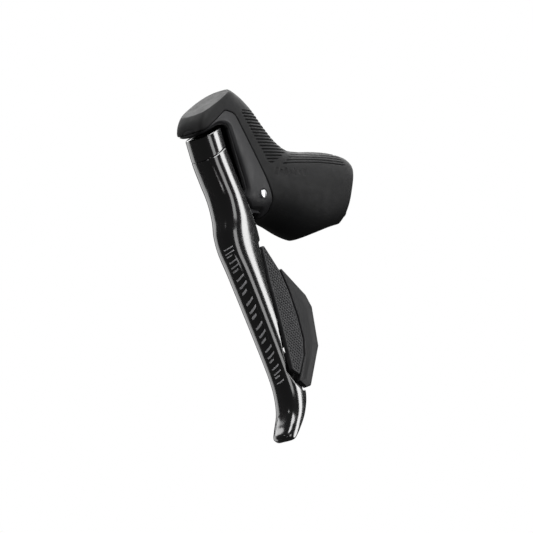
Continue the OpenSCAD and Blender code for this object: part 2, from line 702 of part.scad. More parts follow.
module switch_axle() {
    color([0.7, 0.71, 0.73]) in_switch() translate([0, 0, -39]) cylinder(r = axle_d / 2, h = 44.5);
}

module switch_housing() {
    color([0.15, 0.155, 0.165]) in_switch() difference() {
        union() {
            translate([-2.8, 2.6, -39]) cube([7.4, 6.2, 44]);
            for (z = [2.6, -19.4, -39]) translate([0, 0, z]) {
                cylinder(r = 1.7, h = 2.6);
                translate([-1.7, 0, 0]) cube([3.4, 3, 2.6]);
            }
        }
        translate([0, 0, -41]) cylinder(r = axle_d / 2, h = 48);
        at_screws_local() cylinder(r = 1, h = 12);
        for (z = dome_z) translate([3.1, 2.2, z]) rotate([-90, 0, 0]) cylinder(r = 1.2, h = 1);
    }
}

module at_screws_local() for (p = [[3.4, -6], [2.7, -30]]) translate([0.6, p[0], p[1]]) rotate([-90, 0, 0]) children();
module at_switch_screws() in_switch() at_screws_local() children();

module switch_domes() {
    color([0.75, 0.74, 0.7]) in_switch() for (z = dome_z) translate([3.1, 2.2, z]) rotate([-90, 0, 0]) cylinder(r = 1.2, h = 1);
}

module switch_housing_screws() color([0.6, 0.6, 0.62]) at_switch_screws() screw(1, 8.7, 1.6);

module switch_lead() {
    color([0.1, 0.1, 0.105]) loft([for (i = [0 : 24]) let (p = along(LEAD, i * (len(LEAD) - 1) / 24),
        q = unit(along(LEAD, i * (len(LEAD) - 1) / 24 + 0.02) - along(LEAD, i * (len(LEAD) - 1) / 24 - 0.02)),
        u = unit(cross(q, [0, 1, 0])))
        [for (j = [0 : 9]) p + 0.7 * (cos(36 * j) * u + sin(36 * j) * cross(q, u))]]);
}

bracket_body();
bracket_horn();
lever_yoke();
hood_cover();
hood_switch_button();
switch_button_board();
clamp_band();
clamp_bolt();
clamp_nut();
clamp_hook_pin();
pivot_pin();
pivot_clip();
pivot_bushes();
lever_return_spring();
lever_blade();
lever_cap();
lever_carrier();
lever_cap_screw();
carrier_rivets();
reach_screw();
free_stroke_screw();
push_rod();
master_piston();
piston_cup_seal();
piston_o_ring();
piston_spring();
piston_stop_ring();
reservoir_diaphragm();
reservoir_cover();
reservoir_screws();
bleed_screw();
bleed_o_ring();
coin_cell();
battery_contact();
battery_cover();
battery_cover_screw();
control_board();
board_cover();
switch_housing();
switch_axle();
front_switch_paddle();
rear_switch_paddle();
switch_domes();
switch_housing_screws();
switch_lead();
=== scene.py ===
"""Looks of a drop-bar brake and shift lever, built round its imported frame.

The grip's rubber hood, the bracket's bare flange, the gloss lever blade and its cap, and the two shift
paddles are smooth lofts and plates that replace their plain CAD nodes. Section tables and outlines are in
millimetres, as in the part's own source, and every mesh is made in metres.
"""

import json
import math

import bmesh
import bpy
import numpy as np
from mathutils import Matrix, Vector


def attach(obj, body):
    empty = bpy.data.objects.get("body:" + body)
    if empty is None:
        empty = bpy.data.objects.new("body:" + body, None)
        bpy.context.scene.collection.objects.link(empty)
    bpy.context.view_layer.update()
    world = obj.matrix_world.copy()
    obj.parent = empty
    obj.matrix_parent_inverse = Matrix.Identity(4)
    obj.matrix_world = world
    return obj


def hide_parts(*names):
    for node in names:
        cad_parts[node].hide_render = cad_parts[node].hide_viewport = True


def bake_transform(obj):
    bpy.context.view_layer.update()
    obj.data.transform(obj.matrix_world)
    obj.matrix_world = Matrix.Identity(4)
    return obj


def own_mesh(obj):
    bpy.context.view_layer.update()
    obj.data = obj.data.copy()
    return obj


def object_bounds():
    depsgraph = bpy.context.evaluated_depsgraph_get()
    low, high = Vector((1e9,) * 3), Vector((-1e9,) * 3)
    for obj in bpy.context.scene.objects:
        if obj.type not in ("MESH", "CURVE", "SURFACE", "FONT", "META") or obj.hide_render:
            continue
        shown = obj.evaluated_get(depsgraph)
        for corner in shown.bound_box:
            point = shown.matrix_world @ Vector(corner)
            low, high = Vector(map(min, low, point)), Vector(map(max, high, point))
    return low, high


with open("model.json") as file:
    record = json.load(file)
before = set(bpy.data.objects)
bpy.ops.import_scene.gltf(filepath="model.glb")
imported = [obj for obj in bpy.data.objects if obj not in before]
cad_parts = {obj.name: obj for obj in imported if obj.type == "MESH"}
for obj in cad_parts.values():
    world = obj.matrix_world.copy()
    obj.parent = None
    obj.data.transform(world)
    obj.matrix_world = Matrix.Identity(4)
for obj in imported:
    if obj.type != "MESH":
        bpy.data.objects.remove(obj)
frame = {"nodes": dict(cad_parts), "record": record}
cad_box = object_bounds()

MM = 0.001

# ---------------------------------------------------------------- dimensions, in mm

# Hood sections, rear to nose: top x, z; bottom x, z; half width; height of the widest point, as a share;
# upper and lower power
HOOD = [
    [11.6, 13.8, 0.6, -13.4, 15.6, 0.5, 3.2, 2.7],
    [10.9, 17.6, -2, -16.6, 16.8, 0.5, 3.1, 2.7],
    [6.5, 20.4, -7, -19.0, 17.6, 0.5, 2.9, 2.6],
    [-1.0, 21.5, -14.5, -20.6, 18.0, 0.5, 2.7, 2.4],
    [-10, 21.6, -21, -21.0, 17.9, 0.5, 2.6, 2.1],
    [-20, 21.2, -29, -19.4, 17.1, 0.5, 2.5, 1.9],
    [-29.0, 22.2, -38, -16.2, 15.9, 0.48, 2.4, 1.8],
    [-36.5, 26.8, -46, -14.0, 14.7, 0.46, 2.4, 1.85],
    [-42.9, 34.5, -56, -13.2, 13.8, 0.44, 2.4, 2.1],
    [-47.0, 40.0, -66, -8.0, 13.2, 0.42, 2.5, 2.4],
    [-51.8, 44.0, -70, 6.0, 12.6, 0.42, 2.6, 2.5],
    [-57.2, 47.4, -74, 17.5, 12.0, 0.42, 2.7, 2.6],
    [-63.3, 49.6, -77, 24.5, 11.5, 0.42, 2.8, 2.6],
    [-69.9, 47.8, -80, 25.0, 11.0, 0.42, 2.8, 2.6],
    [-76.6, 43.7, -83, 25.0, 10.3, 0.42, 2.8, 2.6],
    [-82.2, 38.4, -85.5, 25.0, 9.4, 0.42, 2.8, 2.6],
    [-85.4, 33.4, -86.9, 25.3, 7.8, 0.45, 2.6, 2.5],
    [-86.6, 29.4, -87.2, 25.8, 5.0, 0.5, 2.4, 2.3],
]
FLAT_AT = np.array([-62.6, 0, 48.6])
FLAT_DIR = np.array([-0.513, 0, 0.858])
HOOD_T = 1.6
HOOD_LAST = len(HOOD) - 1
HOOD_INNER_LAST = len(HOOD) - 1.6      # where the hood's inner surface closes behind the nose's tip

# Blade sections, top to tip: front x, z; rear x, z; half width; sideways offset
BLADE = [
    [-84.2, 24.2, -73.8, 29.4, 9.0, 0],
    [-82.4, 17.8, -73.0, 24.4, 9.1, 0],
    [-80.6, 11.6, -71.0, 17.4, 9.2, 0],
    [-77.4, 3.8, -67.8, 8.8, 9.3, 0],
    [-74.2, -4.2, -63.6, -1.0, 9.3, 0],
    [-73.0, -12.6, -59.6, -11.2, 9.3, 0],
    [-73.8, -20.6, -56.8, -20.0, 9.1, -0.1],
    [-72.4, -29.0, -55.8, -27.8, 8.8, -0.3],
    [-67.8, -40.0, -55.2, -37.4, 8.4, -0.7],
    [-61.4, -58.0, -50.6, -54.8, 8.0, -1.6],
    [-55.2, -76.0, -45.4, -73.0, 7.6, -2.5],
    [-51.2, -89.0, -40.4, -87.4, 7.5, -3.2],
    [-49.6, -97.5, -39.4, -97.5, 7.6, -3.7],
    [-50.0, -105.5, -42.2, -106.4, 7.5, -4.2],
    [-52.8, -112.2, -46.8, -113.8, 7.1, -4.6],
    [-55.2, -116.8, -50.2, -118.6, 5.9, -4.9],
    [-55.0, -119.2, -52.4, -120.0, 3.3, -5.0],
]
BLADE_POWER = 3
BLADE_WALL = 2.6
CAP_END = 1.64
BLADE_START = 1.68
CHANNEL_END = 10.3

# Side-view outlines [x, z] and their corner radii
SEAM = [[-57, -40], [-55, -13.8], [-47.5, -12], [-47.2, -4.5], [-66, 35.5], [-72, 37], [-84.5, 27.2],
        [-91, 26], [-116, 26], [-116, -40]]
SEAM_R = [0, 0, 4, 6, 4.5, 3, 4, 0, 0, 0]
MOUTH = [[-52, -40], [-52, -9.3], [-58.5, -9.3], [-64.2, -4.2], [-62.9, -0.5], [-71, 30.6], [-76.5, 30.4],
         [-85.5, 24.6], [-116, 20], [-116, -40]]
MOUTH_R = [0, 0.5, 3, 1.5, 1.5, 3, 6, 2, 0, 0]

PIVOT = [-53.3, -2.3]
NOSE_BUTTON = [-66.3, 41]
BUTTON_R = 2.3
BUTTON_SPREAD = np.array([1.6, 1.04])   # from its middle to the centre of either round end
BAR_TILT = math.radians(22)
BAR_R = 12
REAR_X = 3.4
HOSE = [-14.8, 6.4]
RIVETS = [[-65.5, 2.5], [-66, -10.5]]
CAP_SCREW_Z = 19.6

# Shift switch frame: origin at the top of the axle, z up along it
SWITCH_AT = [-56.2, -5.3, -37]
SWITCH_TILT = [-2.9, -12.7]
PADDLE_Y = -4.6
PADDLE_T = 2.2
AXLE_BORE = 0.85
FRONT_PADDLE = [[2.2, 9.5], [4.2, 9.2], [9.2, -3.2], [11, -14], [11.4, -27], [10.4, -38], [7.4, -45.5],
                [0.6, -53.6], [-3.2, -50], [-1.4, -31], [-0.2, -17], [0.2, -7], [1.6, 3]]
REAR_PADDLE = [[9.8, -3], [11.2, -3.4], [21.8, -18.2], [23.6, -24.5], [19.6, -43], [6, -59.8], [2.6, -60],
               [-0.6, -56.2], [1.4, -53.8], [8, -45.8], [11, -38.2], [12, -27], [11.6, -14]]
RELIEF_R = 1.2
RELIEF = [[1.4, 12], [8, 12], [30, -10], [30, -50], [6, -61], [2, -60.8], [-1.6, -56.4],
          [-3.9, -50.2], [-1.9, -31], [-0.7, -17], [-0.3, -7], [1.1, 3]]
SWITCH_SCREWS = [[3.4, -6], [2.7, -30]]
LEAD = [[-56.6, 1.6, -31.4], [-59.6, 2, -26], [-61.5, 2, -17], [-58.5, 2, -8], [-55, 2, 1.4], [-51, 2, 3.8],
        [-46, 2, 3.9]]
LEAD_R = 0.7

# ---------------------------------------------------------------- curves and fields


def along(table, t):
    """Catmull-Rom values of a table's rows at t, counted in rows."""
    table = np.asarray(table, float)
    t = np.asarray(t, float)
    n = len(table)
    i = np.clip(np.floor(t).astype(int), 0, n - 2)
    u = (t - i)[..., None]
    a, b = table[np.maximum(i - 1, 0)], table[i]
    c, d = table[i + 1], table[np.minimum(i + 2, n - 1)]
    return 0.5 * (2 * b + (c - a) * u + (2 * a - 5 * b + 4 * c - d) * u**2 + (3 * b - a - 3 * c + d) * u**3)


def bend(v, power):
    return np.sign(v) * np.abs(v) ** (2 / power)


def unit(v):
    return v / np.linalg.norm(v, axis=-1, keepdims=True)


def smooth(v, low, high):
    """0 below low, 1 above high, and a smooth step between."""
    u = np.clip((v - low) / (high - low), 0, 1)
    return u * u * (3 - 2 * u)


def resample(line, count, closed):
    """The polyline as count points, evenly spaced along it."""
    path = np.vstack([line, line[:1]]) if closed else line
    reach = np.concatenate([[0], np.cumsum(np.linalg.norm(np.diff(path, axis=0), axis=1))])
    at = np.arange(count) / count * reach[-1] if closed else np.linspace(0, reach[-1], count)
    return np.stack([np.interp(at, reach, path[:, j]) for j in range(path.shape[1])], -1)


def even_rows(ring_at, t0, t1, step_at):
    """Section counts from t0 to t1, so close that neighbouring rings lie about step_at(t) mm apart."""
    t = np.linspace(t0, t1, 400)
    rings = ring_at(t)
    move = np.linalg.norm(np.diff(rings, axis=0), axis=-1).max(1) / step_at((t[1:] + t[:-1]) / 2)
    reach = np.concatenate([[0], np.cumsum(move)])
    return np.interp(np.linspace(0, reach[-1], int(reach[-1]) + 2), reach, t)


def rounded(outline, radii):
    """An outline with each corner cut by an arc of its radius."""
    points = [np.array(p, float) for p in outline]
    radii = radii if isinstance(radii, list) else [radii] * len(points)
    made = []
    for i, (p, r) in enumerate(zip(points, radii)):
        a, b = unit(points[i - 1] - p), unit(points[(i + 1) % len(points)] - p)
        half = math.acos(max(-1.0, min(1.0, float(a @ b)))) / 2
        if r <= 0 or half > math.radians(88):
            made.append(p)
            continue
        centre = p + unit(a + b) * r / math.sin(half)
        start, end = p + a * r / math.tan(half) - centre, p + b * r / math.tan(half) - centre
        a0, a1 = math.atan2(start[1], start[0]), math.atan2(end[1], end[0])
        turn = (a1 - a0 + math.pi) % (2 * math.pi) - math.pi
        made += [centre + r * np.array([math.cos(a0 + turn * k / 10), math.sin(a0 + turn * k / 10)])
                 for k in range(11)]
    return np.array(made)


def outline_distance(x, z, outline):
    """Distance from an outline, below zero inside it, and the unit direction that leads away from inside."""
    best = np.full(x.shape, 1e9)
    away_x, away_z = np.zeros(x.shape), np.zeros(x.shape)
    inside = np.zeros(x.shape, bool)
    for a, b in zip(outline, np.roll(outline, -1, 0)):
        edge = b - a
        if edge @ edge < 1e-9:
            continue
        t = np.clip(((x - a[0]) * edge[0] + (z - a[1]) * edge[1]) / (edge @ edge), 0, 1)
        dx, dz = x - a[0] - t * edge[0], z - a[1] - t * edge[1]
        near = dx * dx + dz * dz < best
        best = np.where(near, dx * dx + dz * dz, best)
        away_x, away_z = np.where(near, dx, away_x), np.where(near, dz, away_z)
        crosses = (a[1] > z) != (b[1] > z)
        if edge[1] != 0:
            inside ^= crosses & (x < a[0] + (z - a[1]) * edge[0] / edge[1])
    d = np.sqrt(best)
    side = np.where(inside, -1.0, 1.0)
    scale = side / np.maximum(d, 1e-6)
    return side * d, away_x * scale, away_z * scale


def roll(d, radius):
    """How far a surface falls over an edge of that radius, at distance d from the edge."""
    u = np.clip(radius - d, 0, radius)
    return radius - np.sqrt(radius**2 - u**2)


def normals_of(rings):
    """Outward unit normals of a tube of closed rings."""
    across = np.roll(rings, -1, 1) - np.roll(rings, 1, 1)
    n = unit(np.cross(np.gradient(rings, axis=0), across) + 1e-12)
    out = ((rings - rings.mean(1, keepdims=True)) * n).sum(-1)
    return n if np.median(out) > 0 else -n


def surface_slope(field, rings):
    """How fast a field changes per mm along the surface."""
    step_i = np.maximum(np.linalg.norm(np.gradient(rings, axis=0), axis=-1), 1e-6)
    step_j = np.linalg.norm(np.roll(rings, -1, 1) - np.roll(rings, 1, 1), axis=-1) / 2
    change_j = (np.roll(field, -1, 1) - np.roll(field, 1, 1)) / 2
    return np.hypot(np.gradient(field, axis=0) / step_i, change_j / np.maximum(step_j, 1e-6))


# ---------------------------------------------------------------- frames


def turn_y(angle):
    c, s = math.cos(angle), math.sin(angle)
    return np.array([[c, 0, s], [0, 1, 0], [-s, 0, c]])


def turn_x(angle):
    c, s = math.cos(angle), math.sin(angle)
    return np.array([[1, 0, 0], [0, c, -s], [0, s, c]])


CLAMP_FRAME = (np.zeros(3), turn_y(BAR_TILT))
SWITCH_TURN = turn_y(math.radians(SWITCH_TILT[1])) @ turn_x(math.radians(SWITCH_TILT[0]))
SWITCH_FRAME = (np.array(SWITCH_AT, float), SWITCH_TURN)
ROW_FRAME = (np.zeros(3), np.eye(3))


def placed(points, where):
    """Points of a frame in the row's frame."""
    return np.asarray(points, float) @ where[1].T + where[0]


def seen_from(points, where):
    """Points of the row's frame in another frame."""
    return (points - where[0]) @ where[1]


# ---------------------------------------------------------------- meshes


def closed_object(name, points, faces):
    """A closed mesh from points in mm, with its faces turned outward."""
    mesh = bpy.data.meshes.new(name)
    mesh.from_pydata((np.asarray(points, float) * MM).tolist(), [], faces)
    bm = bmesh.new()
    bm.from_mesh(mesh)
    if bm.calc_volume(signed=True) < 0:
        bmesh.ops.reverse_faces(bm, faces=bm.faces)
    bm.to_mesh(mesh)
    bm.free()
    piece = bpy.data.objects.new(name, mesh)
    bpy.context.scene.collection.objects.link(piece)
    return piece


def tube_of_rings(name, rings):
    """A closed solid through rings of equal length, with flat ends."""
    n, k, _ = rings.shape
    i, j = np.meshgrid(np.arange(n - 1), np.arange(k), indexing="ij")
    m = (j + 1) % k
    quads = np.stack([i * k + j, i * k + m, (i + 1) * k + m, (i + 1) * k + j], -1).reshape(-1, 4)
    ends = [list(range(k - 1, -1, -1)), list(range((n - 1) * k, n * k))]
    return closed_object(name, rings.reshape(-1, 3), quads.tolist() + ends)


def prism(name, outline, y0, y1, where=ROW_FRAME):
    """A solid with a side-view outline, from y0 to y1 of a frame."""
    n = len(outline)
    points = [[p[0], y, p[1]] for y in (y0, y1) for p in outline]
    sides = [[i, (i + 1) % n, n + (i + 1) % n, n + i] for i in range(n)]
    ends = [list(range(n - 1, -1, -1)), list(range(n, 2 * n))]
    return closed_object(name, placed(points, where), sides + ends)


def lathe(name, profile, where, axis="y", steps=96):
    """A solid turned about an axis of a frame, from profile points [radius, height] off that axis."""
    turn = 2 * math.pi * np.arange(steps) / steps
    rings = []
    for r, h in profile:
        u, v = r * np.cos(turn), r * np.sin(turn)
        flat = {"x": (h + 0 * u, u, v), "y": (u, h + 0 * u, v), "z": (u, v, h + 0 * u)}[axis]
        rings.append(placed(np.stack(flat, -1), where))
    return tube_of_rings(name, np.array(rings))


def rod(name, r, h0, h1, at, axis="y", frame_of=ROW_FRAME, steps=96):
    """A cylinder from h0 to h1 along an axis, through the point at of a frame."""
    where = (placed(at, frame_of), frame_of[1])
    return lathe(name, [[r, h0], [r, h1]], where, axis, steps)


def block(name, low, high, where=ROW_FRAME):
    corners = [[low[0], low[2]], [high[0], low[2]], [high[0], high[2]], [low[0], high[2]]]
    return prism(name, corners, low[1], high[1], where)


def carve(piece, tools, operation="DIFFERENCE"):
    """Cuts the tools out of a piece, or joins them to it or keeps what they share, and removes them."""
    for tool in tools:
        modifier = piece.modifiers.new("carve", "BOOLEAN")
        modifier.object = tool
        modifier.operation = operation
        modifier.solver = "MANIFOLD"
    bpy.context.view_layer.update()
    made = bpy.data.meshes.new_from_object(piece.evaluated_get(bpy.context.evaluated_depsgraph_get()))
    piece.modifiers.clear()
    piece.data = made
    for tool in tools:
        bpy.data.objects.remove(tool)
    return piece


def shade(piece, angle=32):
    """Smooth shading that keeps edges sharper than the angle."""
    piece.data.shade_smooth()
    piece.data.set_sharp_from_angle(angle=math.radians(angle))
    return piece


def finish_piece(piece, name, body, paint, node=None):
    """Smooths, names and paints a piece, and rides it on its body, in place of a CAD node if one is given."""
    shade(piece)
    piece.name = name
    piece.data.name = name
    piece.data.materials.clear()
    piece.data.materials.append(MATERIALS[paint])
    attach(piece, body)
    if node:
        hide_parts(node)
    return piece


# ---------------------------------------------------------------- hood and bracket


def hood_rings(t, count, grow=0.0):
    """Rings of the hood's surface: evenly spaced points from the bottom up the inner side and back down."""
    s = along(HOOD, t)
    zero = np.zeros(len(s))
    top, bottom = np.stack([s[:, 0], zero, s[:, 1]], -1), np.stack([s[:, 2], zero, s[:, 3]], -1)
    d = unit(top - bottom)
    middle = bottom + s[:, 5:6] * (top - bottom)
    up, down = np.linalg.norm(top - middle, axis=-1) + grow, np.linalg.norm(bottom - middle, axis=-1) + grow
    fine = 2 * count
    a = np.radians(-90 + 360 * np.arange(fine) / fine)[None, :]
    c, q = np.cos(a), np.sin(a)
    power = np.where(q >= 0, s[:, 6:7], s[:, 7:8])
    height = np.where(q >= 0, up[:, None], down[:, None]) * bend(q, power)
    p = middle[:, None, :] + d[:, None, :] * height[..., None]
    p[..., 1] += (s[:, 4] + grow)[:, None] * bend(c, power)
    over = np.maximum(0, ((p - FLAT_AT) @ FLAT_DIR - grow) / (d @ FLAT_DIR)[:, None])
    p -= d[:, None, :] * over[..., None]
    return np.array([resample(ring, count, closed=True) for ring in p])


GRIP_FINE_FROM = 6.6      # section where the nose, with its seam and short grooves, begins
GROOVE_PITCH = 1.6
GROOVE_W = 0.8
GROOVE_DEPTH = 0.5
GROOVE_EDGE = 0.2         # over which a group of grooves ends above and below
MOST_CROWDED = 0.25       # least slope that a groove's width is measured by

# Short grooves on the nose, between a front and a rear line: each a point x, z and how far x moves per z
NOSE_FRONT = (-61.6, 36.6, 0.53)
NOSE_REAR = (-33.1, 19.3, 1.857)
NOSE_SLOPE = 0.05
NOSE_LEVELS = (14.3, 40.9)
NOSE_GROOVE_AT = 15.1
NOSE_FADE = 0.5
TIP_LEAN, TIP_AT = 0.4, -76      # no grooves in front of x = TIP_AT + TIP_LEAN * z

# Long grooves along the grip's shoulders, bowed in the side view
SHOULDER_BOW = 0.0023
SHOULDER_MIDDLE = 15
SHOULDER_LEVELS = (13.1, 20.5)
SHOULDER_GROOVE_AT = 18.3
SHOULDER_FRONT, SHOULDER_REAR = 30.5, 2.4
SHOULDER_PITCH = 1.5
SHOULDER_FADE = 0.8


def groove(level, ends, slope, pitch):
    """Depth of parallel round-bottomed grooves, where level counts mm across them and ends fades them out."""
    off = np.abs((level + pitch / 2) % pitch - pitch / 2) / np.maximum(slope, MOST_CROWDED)
    return GROOVE_DEPTH * ends * smooth(-off, -GROOVE_W / 2, -GROOVE_W * 0.1)


def nose_grooves(rings):
    x, z = rings[..., 0], rings[..., 2]
    level = z - NOSE_SLOPE * x
    (x0, z0, lean0), (x1, z1, lean1) = NOSE_FRONT, NOSE_REAR
    behind_front = smooth(x - (x0 + lean0 * (z0 - z)), 0, NOSE_FADE)
    inside = behind_front * smooth(x1 + lean1 * (z - z1) - x, 0, NOSE_FADE)
    low, high = NOSE_LEVELS
    clear_of_tip = smooth(x - TIP_LEAN * z, TIP_AT, TIP_AT + 1)
    inside *= clear_of_tip * smooth(high - level, 0, GROOVE_EDGE) * smooth(level - low, 0, GROOVE_EDGE)
    return groove(level - NOSE_GROOVE_AT, inside, surface_slope(level, rings), GROOVE_PITCH)


def shoulder_grooves(rings):
    x, z = rings[..., 0], rings[..., 2]
    level = z + SHOULDER_BOW * (x + SHOULDER_MIDDLE) ** 2
    starts = smooth(x + SHOULDER_FRONT + 2 * (SHOULDER_GROOVE_AT - level), 0, SHOULDER_FADE)
    inside = starts * smooth(SHOULDER_REAR - x, 0, SHOULDER_FADE)
    low, high = SHOULDER_LEVELS
    inside *= smooth(level - low, 0, GROOVE_EDGE) * smooth(high - level, 0, GROOVE_EDGE)
    return groove(level - SHOULDER_GROOVE_AT, inside, surface_slope(level, rings), SHOULDER_PITCH)


TICKS = 7
TICK_DEPTH = 0.3
TICK_AT = (-44.5, 8.4)      # middle of the first one, x and z
TICK_PITCH = 2.9
TICK_SLANT = 0.35
TICK_TALL = (1.9, 1.1)      # half heights, by turns


def tick_marks(rings):
    """A row of slanted recessed dashes on the outer side."""
    x0, z0 = TICK_AT
    x, z = rings[..., 0] - TICK_SLANT * (rings[..., 2] - z0), rings[..., 2]
    made = 0
    for i in range(TICKS):
        across, up = np.abs(x - (x0 + TICK_PITCH * i)), np.abs(z - z0)
        tall = TICK_TALL[i % 2]
        made = made + smooth(-across, -0.75, -0.35) * smooth(-up, -tall, -tall + 0.35)
    return TICK_DEPTH * made * (rings[..., 1] < 0)


LEAST_TILT = 0.09


def surface_distance(p, n, outline):
    """Distance along the surface from a side-view outline, from its distance in the side view."""
    d, ax, az = outline_distance(p[..., 0], p[..., 2], outline)
    tilt = 1 - (n[..., 0] * ax + n[..., 2] * az) ** 2
    return d / np.sqrt(np.maximum(tilt, LEAST_TILT))


BAR_GAP = 0.3
BUTTON_GAP = 0.3
HOSE_HOLE_R = 3


def hood_tools():
    """What is cut from the hood besides the seam: the rear opening, the bar, the hose and the button."""
    reach = 60
    return [
        block("rear_cut", [REAR_X, -40, -reach], [REAR_X + 50, 40, reach], CLAMP_FRAME),
        rod("bar_cut", BAR_R + BAR_GAP, -reach, reach, [0, 0, 0], "z", CLAMP_FRAME, 192),
        rod("hose_cut", HOSE_HOLE_R, 0, 40, [HOSE[0], HOSE[1], 0], "z", CLAMP_FRAME),
        button_prism("button_cut", BUTTON_R + BUTTON_GAP, 5, 20),
    ]


def button_prism(name, r, y0, y1):
    """The oval of the hood button, from y0 to y1."""
    ends = [np.array(NOSE_BUTTON) + s * BUTTON_SPREAD for s in (-1, 1)]
    lean = math.atan2(BUTTON_SPREAD[1], BUTTON_SPREAD[0])
    outline = [ends[s] + r * np.array([math.cos(a), math.sin(a)])
               for s in (1, 0) for a in lean + (math.pi if s == 0 else 0) + np.radians(np.arange(-90, 91, 6))]
    return prism(name, outline, y0, y1)


def hood_step(t):
    return np.where(t > GRIP_FINE_FROM, 0.34, 0.7)


def hood_rows(first, step_at):
    """Evenly spaced sections of the hood from the first to the nose's tip."""
    return even_rows(lambda t: hood_rings(t, 120), first, HOOD_LAST, step_at)


def end_rounding(rings, radius, at_start, at_end):
    """Rounds the flat ends of a tube by drawing in its last rings."""
    for on, edge in ((at_start, 0), (at_end, -1)):
        if not on:
            continue
        centre = rings.mean(1)
        away = np.linalg.norm(centre - centre[edge], axis=-1)
        pull = roll(away, radius)
        size = np.linalg.norm(rings - centre[:, None, :], axis=-1).mean(1)
        rings = centre[:, None, :] + (rings - centre[:, None, :]) * (1 - pull / size)[:, None, None]
    return rings


def make_hood():
    outline = rounded(SEAM, SEAM_R)
    t = hood_rows(0, hood_step)
    rings = hood_rings(t, 560)
    n = normals_of(rings)
    drop = roll(surface_distance(rings, n, outline), 0.7)
    drop = drop + (nose_grooves(rings) + shoulder_grooves(rings)) + tick_marks(rings)
    rings = end_rounding(rings - n * drop[..., None], 0.8, False, True)
    hood = tube_of_rings("hood", rings)
    inner = tube_of_rings("hood_inner", hood_rings(np.linspace(0, HOOD_INNER_LAST, 90), 160, -HOOD_T))
    return carve(hood, [inner, prism("seam_cut", outline, -40, 40)] + hood_tools())


FLANGE_DROP = 0.25
CHAMFER_W = 1.7
CHAMFER_DEPTH = 0.75


def flange_surface(count, step):
    """The bracket's smooth outer surface, a little under the hood's, with its mouth chamfered."""
    t = hood_rows(0, lambda v: np.where(v > GRIP_FINE_FROM, step, 1.5))
    rings = hood_rings(t, count, -FLANGE_DROP)
    n = normals_of(rings)
    d = surface_distance(rings, n, rounded(MOUTH, MOUTH_R))
    u = np.clip(1 - d / CHAMFER_W, 0, 1)
    blend_in = np.where(u < 0.25, 2 * u**2, u - 0.125)
    return rings - n * (CHAMFER_DEPTH * blend_in + roll(d, 0.25))[..., None]


def trimmed_cad(node):
    """A CAD node's own mesh, cut back to the smooth outer surface."""
    mesh = frame["nodes"][node].data.copy()
    body = bpy.data.objects.new(node + "_smooth", mesh)
    bpy.context.scene.collection.objects.link(body)
    bm = bmesh.new()
    bm.from_mesh(mesh)
    bmesh.ops.remove_doubles(bm, verts=bm.verts, dist=2e-7)
    bm.to_mesh(mesh)
    bm.free()
    return carve(body, [tube_of_rings("limit", flange_surface(300, 0.6))], "INTERSECT")


def outline_shrunk(outline, by):
    """An outline moved inward by a small distance."""
    after, before = np.roll(outline, -1, 0) - outline, outline - np.roll(outline, 1, 0)
    ok = (np.linalg.norm(after, axis=1) > 1e-6) & (np.linalg.norm(before, axis=1) > 1e-6)
    outline = outline[ok]
    after, before = np.roll(outline, -1, 0) - outline, outline - np.roll(outline, 1, 0)
    x, z = outline[:, 0], outline[:, 1]
    area = (x * np.roll(z, -1) - np.roll(x, -1) * z).sum()
    turn = np.array([[0, -1], [1, 0]]) * (1 if area > 0 else -1)
    n = unit(unit(after) @ turn.T + unit(before) @ turn.T)
    return outline + n * by


SEAM_GAP = 0.18
MOUTH_GAP = 0.12
FLANGE_T = 2.6            # from the hood's outer surface to the flange's inner one
NOSE_FILL_FROM = 13.5     # hood section where the nose is solid behind the flange
NOSE_FILL_GAP = 0.03
PIN_HOLE_R, CLIP_HOLE_R = 2.3, 3.7


def mouth_cut(name):
    return prism(name, outline_shrunk(rounded(MOUTH, MOUTH_R), MOUTH_GAP), -40, 40)


def make_yoke():
    """The front of the bracket, with a smooth flange round the lever's mouth."""
    at = [PIVOT[0], 0, PIVOT[1]]
    skin = tube_of_rings("skin", flange_surface(420, 0.4))
    seam = outline_shrunk(rounded(SEAM, SEAM_R), SEAM_GAP)
    carve(skin, [prism("inside_seam", seam, -40, 40)], "INTERSECT")
    core = tube_of_rings("core", hood_rings(np.linspace(0, HOOD_INNER_LAST, 80), 160, -FLANGE_T))
    holes = [rod("pin_hole", PIN_HOLE_R, -30, -5, at), rod("clip_hole", CLIP_HOLE_R, 5, 30, at)]
    carve(skin, [core, mouth_cut("mouth")] + holes)
    nose_rows = np.linspace(NOSE_FILL_FROM, HOOD_INNER_LAST, 24)
    nose = tube_of_rings("nose", hood_rings(nose_rows, 160, -HOOD_T - NOSE_FILL_GAP))
    carve(nose, [mouth_cut("nose_mouth")])
    return carve(trimmed_cad("lever_yoke"), [skin, nose], "UNION")


BUTTON_FROM = 11          # hood section behind which the button doesn't reach
BUTTON_DISH = 0.25


def make_hood_button():
    """The oval button on the nose's inner side, dished, on a round stem."""
    rings = hood_rings(hood_rows(BUTTON_FROM, lambda t: 0.3 + 0 * t), 420, 0.0)
    x, z = rings[..., 0], rings[..., 2]
    lean = unit(BUTTON_SPREAD)
    u = (x - NOSE_BUTTON[0]) * lean[0] + (z - NOSE_BUTTON[1]) * lean[1]
    v = -(x - NOSE_BUTTON[0]) * lean[1] + (z - NOSE_BUTTON[1]) * lean[0]
    edge = np.hypot(np.maximum(np.abs(u) - np.linalg.norm(BUTTON_SPREAD), 0), v)
    drop = roll(BUTTON_R - edge, 0.6) + BUTTON_DISH * smooth(-edge, -1.4, -0.5)
    button = tube_of_rings("button", rings - normals_of(rings) * drop[..., None])
    carve(button, [button_prism("button_keep", BUTTON_R, 8.4, 20)], "INTERSECT")
    return carve(button, [rod("stem", 2, 4.1, 9.0, [NOSE_BUTTON[0], 0, NOSE_BUTTON[1]])], "UNION")


# ---------------------------------------------------------------- lever

